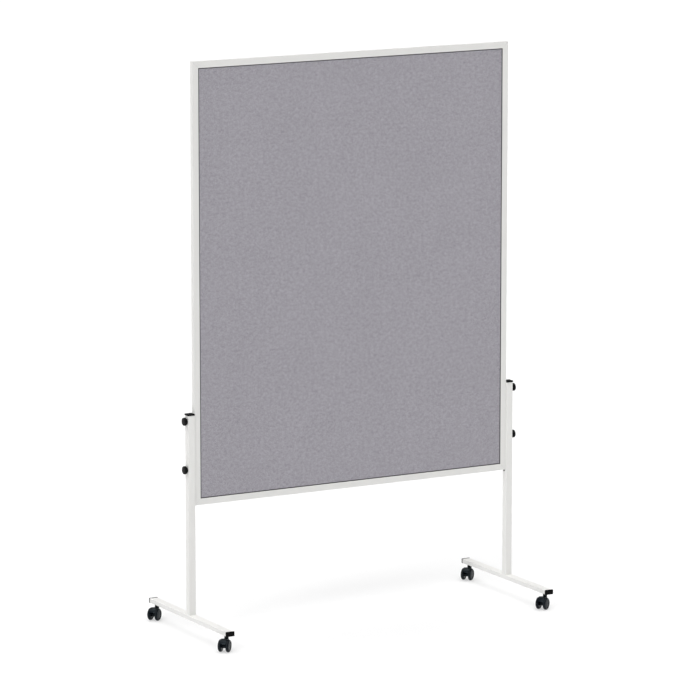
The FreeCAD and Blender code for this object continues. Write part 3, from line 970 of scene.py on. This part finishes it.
@dataclass(frozen=True)
class Fastener:
    """A screw or bolt, modelled along Z with the head's seat at z = 0 and the head upwards.

    Attributes:
        FACETS: facets round the head.
        DOME: the head's steps: share of its height, and spread of the step's new edge.
        TIP: share of the shank that tapers, and its spread at the end.
        SMOOTH: angle in degrees up to which edges are smoothed.
        CUTTER: height of a recess's cutter, in depths of the recess.
        ARM: width of a cross recess's arm, as a share of its length.
        OFF_TURN: turn of a hexagon recess in degrees, so that its corners miss the head's facets.
        SPIN: turn in degrees of each fastener's head against the one before.
        drive: recess in the head.
        head_radius: radius of the head at its seat.
        head_height: height of the head.
        shank_radius: radius of the shank.
        length: length of the shank.
        drive_width: width of the recess across its flats or arms.
        drive_depth: depth of the recess.
    """

    FACETS = 36
    DOME = ((0.42, 1.0), (0.22, 0.94), (0.18, 0.85), (0.12, 0.7), (0.06, 0.45))
    TIP = (0.1, 0.6)
    SMOOTH = 32.0
    CUTTER = 3.0
    ARM = 0.26
    OFF_TURN = 5.0
    SPIN = 37.0

    drive: Drive
    head_radius: float
    head_height: float
    shank_radius: float
    length: float
    drive_width: float
    drive_depth: float

    def model(self) -> Piece:
        """Models one fastener at the origin.

        Returns:
            The fastener's object.
        """
        Bench.clear()
        bpy.ops.mesh.primitive_circle_add(vertices=self.FACETS, radius=self.head_radius,
                                          fill_type="NGON")
        piece = bpy.context.object
        Bench.open()
        for rise, spread in self.DOME:
            Bench.step(rise * self.head_height, spread)
        Bench.choose_faces(piece, 0.0)
        Bench.step(0.0, self.shank_radius / self.head_radius)
        tip, taper = self.TIP
        Bench.step((tip - 1) * self.length, 1.0)
        Bench.step(-tip * self.length, taper)
        Bench.close()
        Bench.combine(piece, self.recess(), "DIFFERENCE")
        Bench.smooth(piece, self.SMOOTH)
        return piece

    def recess(self) -> Piece:
        """Models the cutter of the drive's recess, which stands out above the head.

        Returns:
            The cutter's object.
        """
        Bench.clear()
        height = self.CUTTER * self.drive_depth
        place = (0.0, 0.0, self.head_height - self.drive_depth + height / 2)
        if self.drive is Drive.HEXAGON:
            bpy.ops.mesh.primitive_cylinder_add(
                vertices=6, radius=self.drive_width / math.sqrt(3), depth=height, location=place,
                rotation=(0.0, 0.0, math.radians(self.OFF_TURN)))
            return bpy.context.object
        arms = []
        for turn in (0.0, math.pi / 2):
            Bench.clear()
            bpy.ops.mesh.primitive_cube_add(size=1.0, location=place, rotation=(0.0, 0.0, turn))
            arm = bpy.context.object
            arm.scale = (self.drive_width, self.ARM * self.drive_width, height)
            Bench.settle(arm)
            arms.append(arm)
        Bench.combine(*arms, "UNION")
        return arms[0]

    def set_in(self, name: str, seats: list[Point], facing: Euler) -> Piece:
        """Copies the fastener to each of its seats and joins the copies.

        Args:
            name: the joined piece's name.
            seats: where the head's underside is seated.
            facing: turn that points +Z along the head's outward direction.

        Returns:
            The joined piece.
        """
        first = self.model()
        copies = [first] + [Bench.copy(first) for _ in seats[1:]]
        for number, (copy, seat) in enumerate(zip(copies, seats)):
            spin = Euler((0.0, 0.0, math.radians(number * self.SPIN)))
            copy.rotation_euler = (facing.to_matrix() @ spin.to_matrix()).to_euler()
            copy.location = seat
            Bench.settle(copy)
        Bench.pick(first)
        for copy in copies:
            copy.select_set(True)
        bpy.ops.object.join()
        first.name = first.data.name = name
        return first


@dataclass(frozen=True)
class ThreadedStud:
    """A stud with a helical thread, modelled along Z with the knob's seat at z = 0.

    Attributes:
        low: lower end of the stud.
        high: upper end of the stud.
        radius: outer radius of the thread.
        root: radius at the thread's root.
        pitch: rise of the thread in one turn.
        flat: share of the pitch that is flat at the root, and again at the crest.
        steps: facets in one turn.
        spare: turns that are made beyond each end and cut off.
        smooth: angle in degrees up to which edges are smoothed.
    """

    low: float
    high: float
    radius: float = 2.98 * MM
    root: float = 2.42 * MM
    pitch: float = 1.0 * MM
    flat: float = 0.2
    steps: int = 20
    spare: int = 2
    smooth: float = 30.0

    def model(self) -> Piece:
        """Models one stud at the origin; half a facet's shift keeps its points off the cuts.

        Returns:
            The stud's object.
        """
        start = self.low - (self.spare + 0.5 / self.steps) * self.pitch
        turns = math.ceil((self.high - start) / self.pitch) + self.spare
        depth, flank = self.radius - self.root, 0.5 - self.flat
        Bench.clear()
        bpy.ops.mesh.primitive_plane_add(size=self.pitch, location=(0.0, 0.0, 0.0))
        stud = bpy.context.object
        Bench.open()
        bpy.ops.mesh.merge(type="CENTER")
        bpy.ops.transform.translate(value=(self.root, 0.0, start))
        for out, rise in ((0.0, self.flat), (depth, flank), (0.0, self.flat), (-depth, flank)):
            bpy.ops.mesh.extrude_region_move(
                TRANSFORM_OT_translate={"value": (out, 0.0, rise * self.pitch)})
        bpy.ops.object.mode_set(mode="OBJECT")
        Bench.modify(stud, "SCREW", axis="Z", angle=2 * math.pi, screw_offset=self.pitch,
                     iterations=turns, steps=self.steps, render_steps=self.steps,
                     use_normal_calculate=True)
        Bench.open()
        bpy.ops.mesh.remove_doubles(threshold=TOLERANCE)
        for height, facing in ((self.low, -1.0), (self.high, 1.0)):
            bpy.ops.mesh.select_all(action="SELECT")
            bpy.ops.mesh.bisect(plane_co=(0.0, 0.0, height), plane_no=(0.0, 0.0, facing),
                                use_fill=True, clear_outer=True)
        Bench.close()
        Bench.smooth(stud, self.smooth)
        return stud


def finish_node(name: str, finish: Finish) -> None:
    """Puts a finish on every material slot of a CAD node.

    Args:
        name: the node's name.
        finish: the finish.
    """
    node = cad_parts[name]
    if not node.material_slots:
        node.data.materials.append(None)
    for slot in node.material_slots:
        slot.material = finish.material()
    LOG.info("%s: %s", name, finish.name)


def finish_nodes(group: str, **finishes: Finish) -> None:
    """Puts finishes on the CAD nodes of one group, by the rest of each node's name."""
    for rest, finish in finishes.items():
        finish_node(f"{group}_{rest}", finish)


def finish_piece(piece: Piece, finish: Finish, body: str, slot: str, *nodes: str) -> None:
    """Dresses a new piece, sets it on its body and hides the nodes that it stands for.

    Args:
        piece: the new piece.
        finish: its finish.
        body: the CAD body that it rides on.
        slot: name of a material slot; not used.
        nodes: the CAD nodes that it stands for, if there are any.
    """
    piece.data.materials.clear()
    piece.data.materials.append(finish.material())
    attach(piece, body)
    if nodes:
        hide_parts(*nodes)
    LOG.info("%s: %s, in place of %s", piece.name, finish.name, ", ".join(nodes) or "nothing")


STAND_BODY = "stand"
PAN_SCREW = Fastener(Drive.CROSS, head_radius=2.8 * MM, head_height=1.8 * MM,
                     shank_radius=1.5 * MM, length=9 * MM,
                     drive_width=3 * MM, drive_depth=1.1 * MM)
FOOT_BOLT = Fastener(Drive.HEXAGON, head_radius=4.5 * MM, head_height=2.8 * MM,
                     shank_radius=2.5 * MM, length=18 * MM,
                     drive_width=3 * MM, drive_depth=1.6 * MM)
STOP_SCREW = Fastener(Drive.HEXAGON, head_radius=3.4 * MM, head_height=3.6 * MM,
                      shank_radius=1.8 * MM, length=6 * MM,
                      drive_width=3 * MM, drive_depth=1.6 * MM)
FACING_REAR = Euler((-math.pi / 2, 0.0, 0.0))
FACING_DOWN = Euler((math.pi, 0.0, 0.0))

WHITE: Colour = (0.83, 0.826, 0.806)
FRAME_WHITE: Colour = (0.798, 0.794, 0.775)
CASTOR_BLACK: Colour = (0.003, 0.0045, 0.007)
BLUISH: Colour = (0.74, 0.92, 1.0)
FRAME_COAT = MitredCoat("frame_coat", FRAME_WHITE, roughness=0.42)
# the stand's coat is painted 1.14 times paler on what faces up: painted light on the feet's tops
STAND_COAT = PowderCoat("stand_coat", WHITE, roughness=0.42, dust=0.015, chalk=1.14)
FELT = NeedledFelt("grey_felt", (0.376, 0.362, 0.3985), roughness=0.92)
SEAL = MouldedPlastic("seal_rubber", (0.03, 0.03, 0.031), roughness=0.7, specular=0.16,
                      pits=3400.0, dust=0.02)
CAP_PLASTIC = MouldedPlastic("cap_plastic", (0.003, 0.003, 0.0032), roughness=0.5, specular=0.08,
                             dust=0.01)
KNOB_PLASTIC = MouldedPlastic("knob_plastic", (0.0035, 0.0035, 0.0038), roughness=0.44,
                              specular=0.1, dust=0.01)
CASTOR_PLASTIC = MouldedPlastic("castor_plastic", CASTOR_BLACK, roughness=0.26, specular=0.15,
                                depth=0.02 * MM, dust=0.02, tint=BLUISH)
# The frame brings in plain materials of the next four names. Finish.material finds those, so
# the pieces with these finishes show the frame's flat colours and not the nodes given here.
CORE = FibreBoard("core_board", (0.06, 0.055, 0.052), roughness=0.9)
INNER_PLASTIC = MouldedPlastic("inner_plastic", (0.03, 0.03, 0.03), roughness=0.6)
BLACK_STEEL = PlatedSteel("black_steel", (0.008, 0.0085, 0.01), roughness=0.42, specular=0.2,
                          metallic=0.0)
ZINC = PlatedSteel("zinc_steel", (0.6, 0.61, 0.63), roughness=0.36)
FLOOR = PaleFloor("pale_floor", (0.55, 0.55, 0.55), roughness=0.9, glow=0.465)


@dataclass
class FeltSheet:
    """One felt of the panel: a sheet stretched over the core, with soft rounded edges.

    Attributes:
        end: the side of the panel that it covers.
        cell: spacing of the sheet's mesh.
        edge: radius of its edges.
        edge_steps: facets across a rounded edge.
        edge_angle: angle in degrees from which an edge is rounded.
        wave: how far its surface waves.
        wave_size: length of the waves.
        wave_level: share of the waves that lies below the face.
        smooth: angle in degrees up to which edges are smoothed.
    """

    end: End
    cell: float = 9 * MM
    edge: float = 1.1 * MM
    edge_steps: int = 3
    edge_angle: float = 50.0
    wave: float = 0.5 * MM
    wave_size: float = 160 * MM
    wave_level: float = 0.9
    smooth: float = 60.0

    @property
    def node(self) -> str:
        """Name of the felt's CAD node."""
        return f"{self.end.word}_felt"

    @property
    def cut(self) -> tuple[float, float]:
        """Flat size of the cut, to a tenth of a millimetre, from the CAD node's box."""
        low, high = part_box(self.node)
        return round(high.x - low.x, 4), round(high.z - low.z, 4)

    def build(self) -> Piece:
        """Models the sheet where its CAD node is.

        Returns:
            The sheet's object.
        """
        low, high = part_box(self.node)
        centre = middle(self.node)
        face, turn = (low.y, 0.0) if self.end is End.FRONT else (high.y, math.pi)
        width, height = self.cut
        Bench.clear()
        bpy.ops.mesh.primitive_grid_add(
            x_subdivisions=round(width / self.cell), y_subdivisions=round(height / self.cell),
            size=1.0, location=(centre.x, face, centre.z), rotation=(math.pi / 2, 0.0, turn))
        sheet = bpy.context.object
        sheet.name = f"{self.node}_sheet"
        sheet.scale = (width, height, 1.0)
        Bench.settle(sheet)
        waves = bpy.data.textures.new(f"{self.node}_waves", "CLOUDS")
        waves.noise_scale = self.wave_size
        Bench.modify(sheet, "DISPLACE", texture=waves, texture_coords="GLOBAL", strength=self.wave,
                     mid_level=self.wave_level)
        bpy.data.textures.remove(waves)
        Bench.modify(sheet, "SOLIDIFY", thickness=high.y - low.y - self.wave, offset=-1.0)
        Bench.modify(sheet, "BEVEL", width=self.edge, segments=self.edge_steps,
                     limit_method="ANGLE", angle_limit=math.radians(self.edge_angle))
        Bench.smooth(sheet, self.smooth)
        return sheet

    def dress(self, sheet: Piece) -> None:
        """Gives the sheet its felt."""
        finish_piece(sheet, FELT, STAND_BODY, "felt_grey", self.node)


@dataclass
class Board:
    """Frame, panel and the screws on the frame's rear.

    Attributes:
        seat: the rear face, where the screws are seated.
        screw_inset: from the frame's outside to the screws' line.
        screw_reach: from a corner to its screws.
        bar_screw_height: height of the threaded bars' screws, midway between the knobs.
        screw: the screw that is used.
    """

    seat: float = FRAME_HIGH.y
    screw_inset: float = 6 * MM
    screw_reach: float = 23.6 * MM
    bar_screw_height: float = (middle("right_upper_knob").z + middle("right_lower_knob").z) / 2
    screw: Fastener = PAN_SCREW

    def seats(self) -> list[Point]:
        """Seats of the screws on the frame's rear.

        Returns:
            Points on the rear face.
        """
        places = []
        for side in Side:
            near = side.value * (FRAME_HIGH.x - self.screw_reach)
            outer = side.value * (FRAME_HIGH.x - self.screw_inset)
            for height, inward in ((FRAME_LOW.z, 1), (FRAME_HIGH.z, -1)):
                places.append((near, self.seat, height + inward * self.screw_inset))
                places.append((outer, self.seat, height + inward * self.screw_reach))
            places.append((outer, self.seat, self.bar_screw_height))
        return places

    def build(self) -> None:
        """Builds the felts and screws and dresses the frame."""
        for end in End:
            felt = FeltSheet(end)
            felt.dress(felt.build())
            finish_node(f"{end.word}_seal", SEAL)
        screws = self.screw.set_in("frame_screws_cross", self.seats(), FACING_REAR)
        finish_piece(screws, ZINC, STAND_BODY, "zinc_steel", "frame_screws")
        finish_nodes("frame", bottom_rail=FRAME_COAT, top_rail=FRAME_COAT, left_stile=FRAME_COAT,
                     right_stile=FRAME_COAT)
        finish_node("core_panel", CORE)
        finish_node("corner_keys", INNER_PLASTIC)
        for side in Side:
            finish_node(f"{side.word}_threaded_bar", ZINC)


@dataclass
class Stand:
    """Columns, feet, their caps and fasteners.

    Attributes:
        column_x: from the middle to a column's axis.
        column_face: rear face of a column, where its plug screw is seated.
        plug_screw_height: height of the plug screws.
        bolt_offset: from a column's axis to each foot bolt.
        stop_x: inner face of a column, where its stop screw is seated.
        stop_drop: from the frame's lower edge down to the stop screws.
        screw: the screw through each column into its plug.
        bolt: the bolt from below through each foot.
        stop: the screw under each side of the frame.
    """

    column_x: float = middle("right_column").x
    column_face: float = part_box("right_column")[1].y
    plug_screw_height: float = middle("plug_screws").z
    bolt_offset: float = 6 * MM
    stop_x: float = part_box("right_column")[0].x
    stop_drop: float = 3.8 * MM
    screw: Fastener = PAN_SCREW
    bolt: Fastener = FOOT_BOLT
    stop: Fastener = STOP_SCREW

    def build(self) -> None:
        """Builds the fasteners and dresses the stand."""
        seats = [(side.value * self.column_x, self.column_face, self.plug_screw_height)
                 for side in Side]
        screws = self.screw.set_in("plug_screws_cross", seats, FACING_REAR)
        finish_piece(screws, ZINC, STAND_BODY, "zinc_steel", "plug_screws")
        bolt_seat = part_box("foot_bolts")[1].z - self.bolt.length
        seats = [(side.value * self.column_x, end.value * self.bolt_offset, bolt_seat)
                 for side in Side for end in End]
        bolts = self.bolt.set_in("foot_bolts_socket", seats, FACING_DOWN)
        finish_piece(bolts, ZINC, STAND_BODY, "zinc_steel", "foot_bolts")
        finish_node("castor_inserts", INNER_PLASTIC)
        for side in Side:
            self.build_side(side)

    def build_side(self, side: Side) -> None:
        """Builds the stop screw of one side and dresses its column and foot.

        Args:
            side: the side of the stand.
        """
        seat = (side.value * self.stop_x, 0.0, FRAME_LOW.z - self.stop_drop)
        facing_inward = Euler((0.0, -side.value * math.pi / 2, 0.0))
        stop = self.stop.set_in(f"{side.word}_stop_screw", [seat], facing_inward)
        finish_piece(stop, BLACK_STEEL, STAND_BODY, "black_steel")
        finish_nodes(side.word, column=STAND_COAT, foot=STAND_COAT, column_cap=CAP_PLASTIC,
                     column_plug=INNER_PLASTIC)
        for end in End:
            finish_node(f"{end.word}_{side.word}_foot_cap", CAP_PLASTIC)


@dataclass
class Castor:
    """One twin-wheel castor.

    Attributes:
        end: the foot's end that it stands under.
        side: the side of the stand.
        roughness: roughness of its wheels.
    """

    end: End
    side: Side
    roughness: float = 0.27

    def build(self) -> None:
        """Dresses the castor's nodes; the wheels' rings follow the axle's place and heading."""
        corner = f"{self.end.word}_{self.side.word}_castor"
        pivot, axle = middle(f"{corner}_stem"), middle(f"{corner}_axle")
        heading = math.atan2(axle.y - pivot.y, axle.x - pivot.x)
        wheel = WheelPlastic(f"{corner}_wheel", CASTOR_BLACK, self.roughness, axle=tuple(axle),
                             heading=heading, radius=axle.z, tint=BLUISH)
        finish_nodes(corner, wheel_a=wheel, wheel_b=wheel, housing=CASTOR_PLASTIC, axle=ZINC,
                     stem=BLACK_STEEL)


@dataclass
class Knobs:
    """The four clamp knobs with their studs and washers.

    Attributes:
        seat_x: from the middle to a knob's seat on its washer.
    """

    seat_x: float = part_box("right_upper_knob_washer")[1].x

    def build(self) -> None:
        """Builds the studs and dresses the knobs' nodes."""
        low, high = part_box("right_upper_knob_stud")
        first = ThreadedStud(low.x - self.seat_x, high.x - self.seat_x).model()
        for side in Side:
            for level in Level:
                knob = f"{side.word}_{level.word}_knob"
                self.set_stud(first, side, knob)
                finish_node(knob, KNOB_PLASTIC)
                finish_node(f"{knob}_washer", BLACK_STEEL)
        bpy.data.objects.remove(first)

    def set_stud(self, first: Piece, side: Side, knob: str) -> None:
        """Copies the stud to one knob.

        Args:
            first: the stud at the origin.
            side: the knob's side of the stand.
            knob: name of the knob's node, and of its body.
        """
        node = f"{knob}_stud"
        washer = middle(f"{knob}_washer")
        copy = Bench.copy(first)
        copy.name = copy.data.name = f"{node}_thread"
        copy.rotation_euler = (0.0, side.value * math.pi / 2, 0.0)
        copy.location = (side.value * self.seat_x, washer.y, washer.z)
        Bench.settle(copy)
        finish_piece(copy, ZINC, knob, "zinc_steel", node)


def bearing(azimuth: float, elevation: float) -> Vector:
    """Direction from the board to a camera or a lamp.

    Args:
        azimuth: turn round the board from its front, in degrees, to the right.
        elevation: height above the horizon, in degrees.

    Returns:
        The direction, of length 1.
    """
    turn, rise = math.radians(azimuth), math.radians(elevation)
    return Vector((math.sin(turn) * math.cos(rise), -math.cos(turn) * math.cos(rise),
                   math.sin(rise)))


@dataclass(frozen=True)
class Lamp:
    """A large distant studio lamp.

    Attributes:
        name: the lamp's name.
        energy: its strength.
        azimuth: its turn round the board from the front, in degrees.
        elevation: its height above the horizon, in degrees.
        spread: how wide it looks, in degrees.
        distance: how far off it hangs.
    """

    name: str
    energy: float
    azimuth: float
    elevation: float
    spread: float
    distance: float = 6.0

    def build(self) -> None:
        """Hangs the lamp and points it at the board."""
        towards = bearing(self.azimuth, self.elevation)
        Bench.clear()
        bpy.ops.object.light_add(type="SUN", location=self.distance * towards,
                                 rotation=towards.to_track_quat("Z", "Y").to_euler())
        lamp = bpy.context.object
        lamp.name = self.name
        lamp.data.energy = self.energy
        lamp.data.angle = math.radians(self.spread)


@dataclass
class Studio:
    """Pale floor, soft light and the camera.

    Attributes:
        floor_size: side of the floor.
        zenith: strength of the sky straight above.
        fade: power with which the sky fades towards the horizon.
        wall: strength of the pale wall all round, along the horizon.
        wall_edge: heights between which the wall ends, as sines above the horizon.
        key_lamp: the studio's lamp.
        azimuth: camera's turn round the board from the front, in degrees.
        elevation: camera's height above the horizon, in degrees.
        distance: camera's distance from its target.
        focal_px: focal length in pixels of the image.
        image_px: side of the image.
        sensor: width of the camera's sensor in millimetres.
        target: what the camera looks at.
    """

    floor_size: float = 160.0
    zenith: float = 3.0
    fade: float = 4.0
    wall: float = 1.4
    wall_edge: Range = (0.08, 0.11)
    key_lamp: Lamp = Lamp("key_lamp", energy=0.7, azimuth=-62.0, elevation=38.0, spread=14.0)
    azimuth: float = -29.224
    elevation: float = 10.285
    distance: float = 15.82
    focal_px: float = 4639.6
    image_px: int = 700
    sensor: float = 36.0
    target: Point = (-7.5 * MM, 0.0, 923.2 * MM)

    def build(self) -> None:
        """Builds the floor, the lights and the camera."""
        self.lay_floor()
        self.set_light()
        self.set_camera()

    def lay_floor(self) -> None:
        """Lays the floor at the height where the castors stand."""
        Bench.clear()
        bpy.ops.mesh.primitive_plane_add(size=self.floor_size)
        floor = bpy.context.object
        floor.name = "studio_floor"
        floor.data.materials.append(FLOOR.material())

    def set_light(self) -> None:
        """Sets a sky that is brightest straight above, a pale wall all round, and the lamp."""
        scene = bpy.context.scene
        scene.world = bpy.data.worlds.new("studio_sky")
        scene.world.use_nodes = True
        writer = NodeWriter(scene.world.node_tree)
        direction = writer.add("ShaderNodeTexCoord").outputs["Generated"]
        rise = writer.math("MAXIMUM", writer.split(direction)["Z"], 0.0)
        above = writer.math("MULTIPLY", writer.math("POWER", rise, self.fade), self.zenith)
        wall = writer.remap(rise, *self.wall_edge, self.wall, 0.0, smooth=True)
        sky = writer.add("ShaderNodeBackground", {"Color": WHITE_LIGHT,
                                                  "Strength": writer.math("ADD", above, wall)})
        writer.add("ShaderNodeOutputWorld", {"Surface": sky.outputs[0]})
        self.key_lamp.build()
        scene.view_settings.view_transform = "Standard"

    def set_camera(self) -> None:
        """Sets the camera at the photo's viewing angle."""
        back = bearing(self.azimuth, self.elevation)
        Bench.clear()
        bpy.ops.object.camera_add(location=Vector(self.target) + self.distance * back,
                                  rotation=back.to_track_quat("Z", "Y").to_euler())
        camera = bpy.context.object
        camera.name = "photo_camera"
        camera.data.sensor_width = self.sensor
        camera.data.lens = self.focal_px / self.image_px * self.sensor
        camera.data.clip_end = 2 * self.floor_size
        bpy.context.scene.camera = camera


def main() -> None:
    """Builds the sub-assemblies and the studio in order."""
    logging.basicConfig(level=logging.INFO, format="%(name)s: %(message)s")
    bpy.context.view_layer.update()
    Studio().build()
    Board().build()
    Stand().build()
    for end in End:
        for side in Side:
            Castor(end, side).build()
    Knobs().build()
    Bench.clear()


if __name__ == "__main__":
    main()
